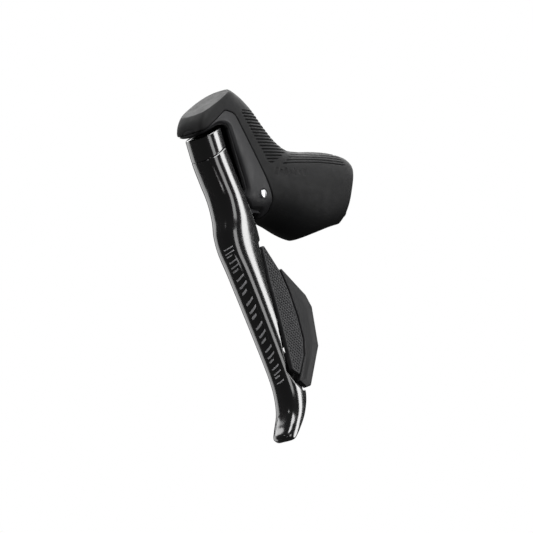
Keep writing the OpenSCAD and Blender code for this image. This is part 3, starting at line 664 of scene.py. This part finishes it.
LIP_R = 0.9
INNER_LIP_R = 0.5
CHANNEL_BOW = 6           # how much further back than the lips the channel's curve would close
OUTER_POINTS, LIP_POINTS, FACE_POINTS, CHANNEL_POINTS = 200, 9, 6, 60


def arc(centre, r, a0, a1, count):
    a = np.radians(np.linspace(a0, a1, count))
    return np.stack([centre[0] + r * np.cos(a), centre[1] + r * np.sin(a)], -1)


def mirrored(line):
    """A half outline of the blade on its other side, in the opposite order."""
    return (line * [1, -1])[::-1]


def bow(depth, half, a):
    """The blade's bowed front, at angles within half a turn."""
    return np.stack([depth * (1 - bend(np.cos(a), BLADE_POWER)), half * bend(np.sin(a), BLADE_POWER)], -1)


def blade_section(depth, half, wall, open_by):
    """A U section, bowed at the front, as points [rearward, sideways]; open_by is 0 if filled, 1 if open."""
    wall = min(wall, 0.4 * depth, 0.45 * half)
    lip_r, r = min(LIP_R, 0.3 * depth, 0.3 * half), min(INNER_LIP_R, 0.15 * depth, 0.15 * half)
    outer = bow(depth, half, np.radians(np.linspace(-90, 90, 721)))
    outer = outer[outer[:, 0] <= depth - lip_r]
    lip = arc([depth - lip_r, half - lip_r], lip_r, 90, 0, LIP_POINTS)
    channel = bow(depth + CHANNEL_BOW - wall, half - wall, np.radians(np.linspace(90, -90, 721)))
    channel[:, 0] += wall
    channel = channel[channel[:, 0] <= depth - r]
    edge = channel[0][1]
    inner_lip = arc([depth - r, edge + r], r, 0, -90, LIP_POINTS)
    face = np.stack([np.full(FACE_POINTS, depth), np.linspace(half - lip_r, edge + r, FACE_POINTS)], -1)[1:-1]
    inner = np.vstack([inner_lip[:-1], resample(channel, CHANNEL_POINTS, False), mirrored(inner_lip)[1:]])
    inner[:, 0] = depth - open_by * (depth - inner[:, 0])
    outer = resample(outer, OUTER_POINTS, False)
    return np.vstack([outer, lip[1:], face, inner, mirrored(face), mirrored(lip)[:-1]])


def blade_rings(t, wall, open_at):
    s = along(BLADE, t)
    front, rear = np.stack([s[:, 0], s[:, 5], s[:, 1]], -1), np.stack([s[:, 2], s[:, 5], s[:, 3]], -1)
    depth = np.linalg.norm(rear - front, axis=-1)
    d = (rear - front) / depth[:, None]
    across = np.array([0.0, 1.0, 0.0])
    flat = [blade_section(depth[i], s[i, 4], wall, open_at(t[i])) for i in range(len(t))]
    return np.array([front[i] + p[:, :1] * d[i] + p[:, 1:] * across for i, p in enumerate(flat)])


def blade_front(t):
    """Coarse rings, used to space the fine ones."""
    s = along(BLADE, t)
    return np.stack([np.stack([s[:, 0], s[:, 5], s[:, 1]], -1), np.stack([s[:, 2], s[:, 5], s[:, 3]], -1)], 1)


RELIEF_ROLL = 0.55


def cut_edge_roll(rings):
    """Softens the blade's edge round the room for the paddles."""
    q = seen_from(rings, SWITCH_FRAME)
    d, _, _ = outline_distance(q[..., 0], q[..., 2], rounded(RELIEF, RELIEF_R))
    return roll(d, RELIEF_ROLL) * (q[..., 1] < -0.6)


def make_blade():
    open_at = lambda t: 1 - smooth(t, CHANNEL_END - 0.7, CHANNEL_END)
    t = even_rows(blade_front, BLADE_START, len(BLADE) - 1, lambda v: np.where(v > 14.5, 0.2, 0.42))
    t[-1] -= 1e-9
    rings = blade_rings(t, BLADE_WALL, open_at)
    rings = end_rounding(rings, 0.3, True, False)
    rings = end_rounding(rings, 2.0, False, True)
    rings = rings - normals_of(rings) * cut_edge_roll(rings)[..., None]
    blade = tube_of_rings("blade", rings)
    tools = [prism("relief", rounded(RELIEF, RELIEF_R), -14, -1, SWITCH_FRAME),
             block("axle_room", [-2.7, -2.8, -45], [9.3, 2.4, 11], SWITCH_FRAME)]
    tools += [rod("rivet_hole", 1.5, -8.1, 20, [x, 0, z]) for x, z in RIVETS]
    for y, z in SWITCH_SCREWS:
        tools.append(rod("screw_hole", 1, y, y + 12, [0.6, 0, z], "y", SWITCH_FRAME))
        tools.append(rod("screw_seat", 1.7, y + 8.7, y + 14, [0.6, 0, z], "y", SWITCH_FRAME))
    return carve(blade, tools)


def make_cap():
    open_at = lambda t: smooth(t, 0.28, 0.5)
    t = even_rows(blade_front, 0, CAP_END, lambda v: 0.16 + 0 * v)
    rings = blade_rings(t, 2.0, open_at)
    rings = end_rounding(rings, 0.7, True, False)
    rings = end_rounding(rings, 0.3, False, True)
    cap = tube_of_rings("cap", rings)
    at = [0, 0, CAP_SCREW_Z]
    carve(cap, [rod("boss", 2.2, -81.6, -76.2, at, "x")], "UNION")
    return carve(cap, [rod("boss_hole", 1, -80.4, -70, at, "x")])


# Generic decoration: slim slanted strokes inlaid along the blade's front
STROKES = 22
STROKES_FROM, STROKES_TO = 6.75, 11.1       # in blade sections
STROKE_V = (-0.29, 0.0)                     # round the blade's bow
STROKE_W = 0.055                            # in blade sections
STROKE_SLANT = 0.5
STROKE_LIFT, STROKE_SINK = 0.08, 0.25
SHORTER_BY = 0.12


def blade_patch(name, t0, t1, v0, v1):
    """A thin strip lying on the blade's front: t along it, v from -1 to 1 round its bow."""
    n, k = 40, 10
    v = np.linspace(v0, v1, k)
    t = np.linspace(t0, t1, n)[:, None] + STROKE_SLANT * (v - v0)[None, :]
    s = along(BLADE, t.ravel())
    a = np.radians(90 * np.tile(v, n))
    front = np.stack([s[:, 0], s[:, 5], s[:, 1]], -1)
    rear = np.stack([s[:, 2], s[:, 5], s[:, 3]], -1)
    p = front + (rear - front) * (1 - bend(np.cos(a), BLADE_POWER))[:, None]
    p[:, 1] += s[:, 4] * bend(np.sin(a), BLADE_POWER)
    p = p.reshape(n, k, 3)
    normal = unit(np.cross(np.gradient(p, axis=0), np.gradient(p, axis=1)))
    outward = np.sign(((p - rear.reshape(n, k, 3)) * normal).sum(-1, keepdims=True))
    top, low = p + normal * outward * STROKE_LIFT, p - normal * outward * STROKE_SINK
    rings = np.concatenate([top, low[:, ::-1]], 1)
    return tube_of_rings(name, rings)


def make_decoration():
    """Long and short strokes in groups of three."""
    strokes = []
    for i in range(STROKES):
        t0 = STROKES_FROM + (STROKES_TO - STROKES_FROM) * i / (STROKES - 1)
        low, high = STROKE_V
        if i % 3 == 2:
            low += SHORTER_BY
        strokes.append(blade_patch("stroke", t0, t0 + STROKE_W, low, high))
    return carve(strokes[0], strokes[1:], "UNION")


# ---------------------------------------------------------------- paddles

KNUCKLE_R = 1.7
PADDLE_GRID = 0.17
ARM_CLEAR = 0.9           # an arm that starts further out than this is thinner by the rest
RIM_ROLL = 0.7


def make_paddle(outline, knuckles, reach, from_y, texture):
    """A plate with a rounded rim and its knuckles round the axle, in the switch frame."""
    outline = rounded(outline, 0.9)
    low, high = outline.min(0) - 0.6, outline.max(0) + 0.6
    x = np.linspace(low[0], high[0], int((high[0] - low[0]) / PADDLE_GRID))
    z = np.linspace(low[1], high[1], int((high[1] - low[1]) / PADDLE_GRID))
    gx, gz = np.meshgrid(x, z, indexing="ij")
    d, _, _ = outline_distance(gx, gz, outline)
    y = PADDLE_Y + roll(-d, RIM_ROLL) + texture(gx, gz, -d)
    n, k = gx.shape
    top = np.stack([gx, y, gz], -1).reshape(-1, 3)
    bottom = np.stack([gx, 0 * gx + PADDLE_Y + PADDLE_T, gz], -1).reshape(-1, 3)
    i, j = np.meshgrid(np.arange(n - 1), np.arange(k - 1), indexing="ij")
    quads = np.stack([i * k + j, i * k + j + 1, (i + 1) * k + j + 1, (i + 1) * k + j], -1).reshape(-1, 4)
    rim = ([a * k for a in range(n)] + [(n - 1) * k + b for b in range(1, k)]
           + [a * k + k - 1 for a in range(n - 2, -1, -1)] + list(range(k - 2, 0, -1)))
    shift = n * k
    walls = [[a, b, b + shift, a + shift] for a, b in zip(rim, rim[1:] + rim[:1])]
    faces = quads.tolist() + [[a + shift for a in q[::-1]] for q in quads.tolist()] + walls
    plate = closed_object("plate", placed(np.vstack([top, bottom]), SWITCH_FRAME), faces)
    keep = prism("plate_outline", outline, PADDLE_Y - 2, PADDLE_Y + PADDLE_T + 0.5, SWITCH_FRAME)
    carve(plate, [keep], "INTERSECT")
    inset = max(0, -from_y - ARM_CLEAR)
    arms, bores = [], []
    for z0, tall in knuckles:
        z1 = z0 + tall
        post_from = [reach - KNUCKLE_R, PADDLE_Y + 0.6, z0]
        arms.append(rod("knuckle", KNUCKLE_R, z0, z1, [0, 0, 0], "z", SWITCH_FRAME))
        arms.append(block("arm", [-0.2, from_y, z0], [reach, from_y + KNUCKLE_R - inset, z1], SWITCH_FRAME))
        arms.append(block("post", post_from, [reach, from_y + 1.1, z1], SWITCH_FRAME))
        bores.append(rod("axle_bore", AXLE_BORE, z0 - 1, z0 + tall + 1, [0, 0, 0], "z", SWITCH_FRAME))
    carve(plate, arms, "UNION")
    return carve(plate, bores)


DIAMOND = [1.75, 2.2]           # width and height of one diamond
DIAMOND_DEPTH = 0.38


def diamond_texture(x, z, inside):
    """A lattice of raised ribs with sunk diamonds between."""
    u, v = x / DIAMOND[0] + z / DIAMOND[1], x / DIAMOND[0] - z / DIAMOND[1]
    edge = np.maximum(np.abs(u % 1 - 0.5), np.abs(v % 1 - 0.5)) * 2
    return DIAMOND_DEPTH * (1 - smooth(edge, 0.35, 0.9)) * smooth(inside, 0.7, 1.3)


def plain_face(x, z, inside):
    """A shallow dish across the face."""
    return 0.25 * smooth(inside, 0.8, 4.0)


# ---------------------------------------------------------------- small metal pieces


def make_pivot_pin():
    """The pin with a domed head, a chamfered tail and its clip groove."""
    r = 2.0
    dome = [[0.02 + (r - 0.12) * i / 10, -12.42 - 0.42 * (1 - (i / 10) ** 2)] for i in range(11)]
    clip_groove = [[r, 11.8], [r - 0.5, 11.8], [r - 0.5, 12.3], [r, 12.3]]
    profile = dome + [[r, -12.25]] + clip_groove + [[r - 0.3, 12.6], [0.4, 12.6]]
    return lathe("pin", profile, (np.array([PIVOT[0], 0, PIVOT[1]]), np.eye(3)), "y", 128)


def wire_along(name, path, r, count=20):
    """A round wire whose middle follows a path of points."""
    ahead = unit(np.gradient(path, axis=0))
    side = unit(np.cross(ahead, [0.31, 0.9, 0.3]))
    above = np.cross(ahead, side)
    a = -2 * math.pi * np.arange(count) / count
    ring = np.cos(a)[:, None, None] * side + np.sin(a)[:, None, None] * above
    return tube_of_rings(name, (path + r * ring).transpose(1, 0, 2))


# Turns that lay a coil's own axis, z, along x or y
Z_TO_X = [[0, 0, 1], [0, 1, 0], [-1, 0, 0]]
Z_TO_Y = [[1, 0, 0], [0, 0, 1], [0, -1, 0]]


def make_coil(name, r, wire, turns, height, base, turn_to):
    """A coil spring: turn_to takes its own frame, with its axis along z, to the row's."""
    s = np.linspace(0, 1, int(turns * 48))
    a = 2 * math.pi * turns * s
    path = np.stack([r * np.cos(a), r * np.sin(a), height * s], -1)
    return wire_along(name, path @ np.array(turn_to).T + base, wire)


def make_lead():
    """The lead from the shift switches over the pivot into the bracket."""
    return wire_along("lead", along(LEAD, np.linspace(0, len(LEAD) - 1, 120)), LEAD_R)


# ---------------------------------------------------------------- materials


class Paint:
    """A node material whose colour, roughness and bump vary over the surface."""

    def __init__(self, name, color, roughness, metallic=0.0, **uniform):
        self.material = bpy.data.materials.new(name)
        self.material.use_nodes = True
        self.nodes = self.material.node_tree.nodes
        self.links = self.material.node_tree.links
        self.shader = self.nodes["Principled BSDF"]
        self.shader.inputs["Metallic"].default_value = metallic
        for socket, value in uniform.items():
            self.shader.inputs[socket.replace("_", " ")].default_value = value
        self.material.diffuse_color = (*color, 1)
        self.place = self.nodes.new("ShaderNodeTexCoord")
        self.color, self.rough = color, roughness
        self.bump_out = None

    def noise(self, scale, detail=3.0, stretch=None):
        node = self.nodes.new("ShaderNodeTexNoise")
        node.inputs["Scale"].default_value = scale
        node.inputs["Detail"].default_value = detail
        source = self.place.outputs["Object"]
        if stretch:
            mapping = self.nodes.new("ShaderNodeMapping")
            mapping.inputs["Scale"].default_value = stretch
            self.links.new(source, mapping.inputs["Vector"])
            source = mapping.outputs["Vector"]
        self.links.new(source, node.inputs["Vector"])
        return node.outputs["Fac"]

    def cells(self, scale):
        node = self.nodes.new("ShaderNodeTexVoronoi")
        node.inputs["Scale"].default_value = scale
        self.links.new(self.place.outputs["Object"], node.inputs["Vector"])
        return node.outputs["Distance"]

    def tint(self, value, spread):
        """The base colour, darker and lighter by spread where value is low and high."""
        ramp = self.nodes.new("ShaderNodeValToRGB")
        ramp.color_ramp.elements[0].position = 0.3
        ramp.color_ramp.elements[1].position = 0.7
        ramp.color_ramp.elements[0].color = (*[c * (1 - spread) for c in self.color], 1)
        ramp.color_ramp.elements[1].color = (*[min(1, c * (1 + spread)) for c in self.color], 1)
        self.links.new(value, ramp.inputs["Fac"])
        self.links.new(ramp.outputs["Color"], self.shader.inputs["Base Color"])
        return self

    def vary_roughness(self, value, spread):
        node = self.nodes.new("ShaderNodeMapRange")
        node.inputs["From Min"].default_value, node.inputs["From Max"].default_value = 0.3, 0.7
        node.inputs["To Min"].default_value = max(0.0, self.rough - spread)
        node.inputs["To Max"].default_value = min(1.0, self.rough + spread)
        self.links.new(value, node.inputs["Value"])
        self.links.new(node.outputs["Result"], self.shader.inputs["Roughness"])
        return self

    def bump(self, value, depth, strength=1.0):
        """Bumps depth metres high, added to any made before."""
        node = self.nodes.new("ShaderNodeBump")
        node.inputs["Distance"].default_value = depth
        node.inputs["Strength"].default_value = strength
        self.links.new(value, node.inputs["Height"])
        if self.bump_out:
            self.links.new(self.bump_out, node.inputs["Normal"])
        self.bump_out = node.outputs["Normal"]
        self.links.new(self.bump_out, self.shader.inputs["Normal"])
        return self


def rubber(name, color, roughness, grain=2600):
    """Moulded rubber: a fine matt grain with faint clouding."""
    p = Paint(name, color, roughness, Specular_IOR_Level=0.22)
    cloud = p.noise(90, 4)
    p.tint(cloud, 0.1).vary_roughness(p.noise(300, 5), 0.06)
    return p.bump(p.cells(grain), 0.00003, 0.5).bump(p.noise(grain * 2.4, 2), 0.00002, 0.4).material


def plastic(name, color, roughness, grain=4200, depth=0.000012):
    """Moulded plastic: spark-eroded grain and slight gloss changes."""
    p = Paint(name, color, roughness, Specular_IOR_Level=0.34)
    p.tint(p.noise(140, 4), 0.08).vary_roughness(p.noise(520, 4), 0.05)
    return p.bump(p.noise(grain, 3), depth, 0.5).material


def lacquer(name, color):
    """Gloss lacquer: clear coat with the faintest orange peel."""
    p = Paint(name, color, 0.16, Coat_Weight=1.0, Coat_Roughness=0.13, Coat_IOR=1.8, Specular_IOR_Level=0.9)
    p.tint(p.noise(60, 3), 0.15).vary_roughness(p.noise(400, 4), 0.03)
    return p.bump(p.noise(260, 2), 0.000004, 0.35).material


def metal(name, color, roughness, stretch=(1, 1, 1), scale=900):
    """Turned, drawn or rolled metal: fine lines along or round the piece."""
    p = Paint(name, color, roughness, 1.0)
    lines = p.noise(scale, 4, stretch)
    p.tint(p.noise(180, 3), 0.07).vary_roughness(lines, 0.08)
    return p.bump(lines, 0.000006, 0.6).material


MATERIALS = {
    "bracket_plastic": plastic("bracket_plastic", (0.024, 0.024, 0.026), 0.42),
    "hood_rubber": rubber("hood_rubber", (0.012, 0.012, 0.0125), 0.55),
    "button_rubber": rubber("button_rubber", (0.024, 0.024, 0.026), 0.55, 3200),
    "band_steel": metal("band_steel", (0.6, 0.61, 0.63), 0.32, (1, 8, 1)),
    "bolt_steel": metal("bolt_steel", (0.16, 0.165, 0.175), 0.38),
    "pin_steel": metal("pin_steel", (0.85, 0.86, 0.88), 0.34, (1, 12, 1)),
    "spring_steel": metal("spring_steel", (0.5, 0.5, 0.52), 0.28),
    "bush_bronze": metal("bush_bronze", (0.5, 0.33, 0.15), 0.4),
    "blade_gloss": lacquer("blade_gloss", (0.0035, 0.0035, 0.004)),
    "carrier_alloy": metal("carrier_alloy", (0.03, 0.03, 0.032), 0.45),
    "piston_alloy": metal("piston_alloy", (0.55, 0.57, 0.6), 0.3, (10, 1, 1)),
    "seal_rubber": rubber("seal_rubber", (0.01, 0.01, 0.01), 0.45, 3000),
    "cover_plastic": plastic("cover_plastic", (0.016, 0.016, 0.017), 0.5),
    "cell_steel": metal("cell_steel", (0.75, 0.75, 0.76), 0.18),
    "contact_metal": metal("contact_metal", (0.72, 0.55, 0.25), 0.3),
    "board_green": plastic("board_green", (0.012, 0.09, 0.04), 0.35),
    "paddle_textured": plastic("paddle_textured", (0.036, 0.036, 0.038), 0.4),
    "paddle_smooth": plastic("paddle_smooth", (0.014, 0.014, 0.015), 0.45),
    "lead_jacket": rubber("lead_jacket", (0.012, 0.012, 0.013), 0.5, 3600),
    "screw_steel": metal("screw_steel", (0.5, 0.5, 0.52), 0.3),
    "marking_silver": plastic("marking_silver", (0.8, 0.8, 0.82), 0.4),
}


def paint_cad_nodes():
    """Gives each CAD node the material of its slot in the record."""
    slots = {part["node"]: part["material_slot"] for part in frame["record"]["subparts"]}
    for name, node in frame["nodes"].items():
        material = MATERIALS[slots[name]]
        for used in node.material_slots:
            used.material = material
        if not node.material_slots:
            node.data.materials.append(material)


# ---------------------------------------------------------------- stage

CAMERA_RIGHT = Vector((0.678, -0.7246, -0.120)).normalized()
CAMERA_BACK = Vector((-0.7335, -0.6604, -0.1566)).normalized()
CAMERA_TARGET = Vector((-0.0456, -0.0013, -0.0349))
CAMERA_DISTANCE = 2.5
VIEW_WIDTH = 0.25106
SENSOR = 36
UP = CAMERA_BACK.cross(CAMERA_RIGHT).normalized()
RIGHT = UP.cross(CAMERA_BACK)


def make_camera():
    data = bpy.data.cameras.new("camera")
    camera = bpy.data.objects.new("camera", data)
    bpy.context.scene.collection.objects.link(camera)
    data.sensor_width = SENSOR
    data.lens = SENSOR * CAMERA_DISTANCE / VIEW_WIDTH
    data.clip_start, data.clip_end = 0.05, 20
    turn = Matrix((RIGHT, UP, CAMERA_BACK)).transposed().to_4x4()
    camera.matrix_world = Matrix.Translation(CAMERA_TARGET + CAMERA_BACK * CAMERA_DISTANCE) @ turn
    bpy.context.scene.camera = camera


def softbox(name, azimuth, elevation, width, height, radiance, distance=3.0):
    """A rectangular lamp facing the object. Angles in degrees: azimuth from the camera towards its right."""
    az, el = math.radians(azimuth), math.radians(elevation)
    level = CAMERA_BACK * math.cos(az) + RIGHT * math.sin(az)
    direction = (level * math.cos(el) + UP * math.sin(el)).normalized()
    data = bpy.data.lights.new(name, "AREA")
    data.shape = "RECTANGLE"
    data.size = 2 * distance * math.tan(math.radians(width / 2))
    data.size_y = 2 * distance * math.tan(math.radians(height / 2))
    data.energy = radiance * math.pi * data.size * data.size_y
    lamp = bpy.data.objects.new(name, data)
    bpy.context.scene.collection.objects.link(lamp)
    lamp.location = CAMERA_TARGET + direction * distance
    across_it = UP.cross(direction).normalized()
    lamp.rotation_euler = Matrix((across_it, direction.cross(across_it), direction)).transposed().to_euler()


DIM_LIGHT = 0.05


def make_world():
    """White where the camera looks past the object, and dim all round for the light."""
    world = bpy.data.worlds.new("studio")
    bpy.context.scene.world = world
    world.use_nodes = True
    nodes, links = world.node_tree.nodes, world.node_tree.links
    nodes.clear()
    seen, light = nodes.new("ShaderNodeBackground"), nodes.new("ShaderNodeBackground")
    seen.inputs["Color"].default_value = (1, 1, 1, 1)
    seen.inputs["Strength"].default_value = 1.0
    light.inputs["Color"].default_value = (1, 1, 1, 1)
    light.inputs["Strength"].default_value = DIM_LIGHT
    path, mix = nodes.new("ShaderNodeLightPath"), nodes.new("ShaderNodeMixShader")
    out = nodes.new("ShaderNodeOutputWorld")
    links.new(path.outputs["Is Camera Ray"], mix.inputs[0])
    links.new(light.outputs[0], mix.inputs[1])
    links.new(seen.outputs[0], mix.inputs[2])
    links.new(mix.outputs[0], out.inputs[0])


FLOOR_HALF = 3.0
FLOOR_GAP = 0.03


def make_floor():
    """A wide pale floor under the camera, lit but throwing no light back up."""
    height = min(cad_box[0].z, (CAMERA_TARGET + CAMERA_BACK * CAMERA_DISTANCE).z) - FLOOR_GAP
    bm = bmesh.new()
    bmesh.ops.create_grid(bm, x_segments=8, y_segments=8, size=FLOOR_HALF)
    mesh = bpy.data.meshes.new("floor")
    bm.to_mesh(mesh)
    bm.free()
    floor = bpy.data.objects.new("floor", mesh)
    floor.location.z = height
    bpy.context.scene.collection.objects.link(floor)
    paint = Paint("floor_paint", (0.82, 0.82, 0.82), 0.6)
    paint.tint(paint.noise(3, 2), 0.01).vary_roughness(paint.noise(20, 2), 0.05)
    mesh.materials.append(paint.material)
    floor.visible_diffuse = False
    floor.visible_glossy = False


# name, azimuth, elevation, width and height in degrees as the object sees it, and brightness
LIGHTS = [
    ("side", 77, 10, 18, 64, 5.4),
    ("side_soft", 30, 4, 22, 34, 1.8),
    ("left_back", -121, -14, 40, 60, 1.3),
    ("top_back", -160, 48, 60, 40, 2.4),
    ("top", 20, 72, 50, 40, 4.6),
    ("inner_side", -140, 34, 50, 28, 2.3),
    ("rear", 150, 28, 60, 36, 2.2),
    ("low_front", -12, -25, 15, 8, 2.0),
    ("tip", -65, 28, 6, 6, 4.0),
]


def make_lights():
    for light in LIGHTS:
        softbox(*light)


# ---------------------------------------------------------------- build

make_camera()
make_world()
make_floor()
make_lights()
bpy.context.scene.view_settings.view_transform = "Standard"

paint_cad_nodes()
finish_piece(make_hood(), "rubber_hood", "bracket", "hood_rubber", "hood_cover")
for node, name in (("bracket_body", "bracket_shell"), ("bracket_horn", "horn_shell")):
    finish_piece(trimmed_cad(node), name, "bracket", "bracket_plastic", node)
finish_piece(make_yoke(), "yoke_shell", "bracket", "bracket_plastic", "lever_yoke")
finish_piece(make_hood_button(), "grip_button", "hood_button", "button_rubber", "hood_switch_button")
finish_piece(make_blade(), "gloss_blade", "lever", "blade_gloss", "lever_blade")
finish_piece(make_cap(), "gloss_cap", "lever", "blade_gloss", "lever_cap")
finish_piece(make_decoration(), "blade_bars", "lever", "marking_silver")
front = make_paddle(FRONT_PADDLE, [[-2, 4], [-33, 4]], 5.5, -1.6, diamond_texture)
finish_piece(front, "textured_paddle", "front_paddle", "paddle_textured", "front_switch_paddle")
rear = make_paddle(REAR_PADDLE, [[-13, 4], [-25, 4]], 14, -0.9, plain_face)
finish_piece(rear, "smooth_paddle", "rear_paddle", "paddle_smooth", "rear_switch_paddle")
finish_piece(make_pivot_pin(), "turned_pivot_pin", "bracket", "pin_steel", "pivot_pin")

piston_coil = make_coil("coil", 1.9, 0.35, 4.5, 10.6, [-32.8, 0, -7.2], Z_TO_X)
finish_piece(piston_coil, "piston_coil", "bracket", "spring_steel", "piston_spring")
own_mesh(piston_coil)
return_coil = make_coil("coil", 3.9, 0.4, 2.25, 1.9, [PIVOT[0], 7.7, PIVOT[1]], Z_TO_Y)
finish_piece(return_coil, "return_coil", "bracket", "spring_steel", "lever_return_spring")
lead = shade(make_lead())
lead.name = "flexible_lead"
lead.data.materials.append(MATERIALS["lead_jacket"])
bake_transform(lead)
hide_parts("switch_lead")
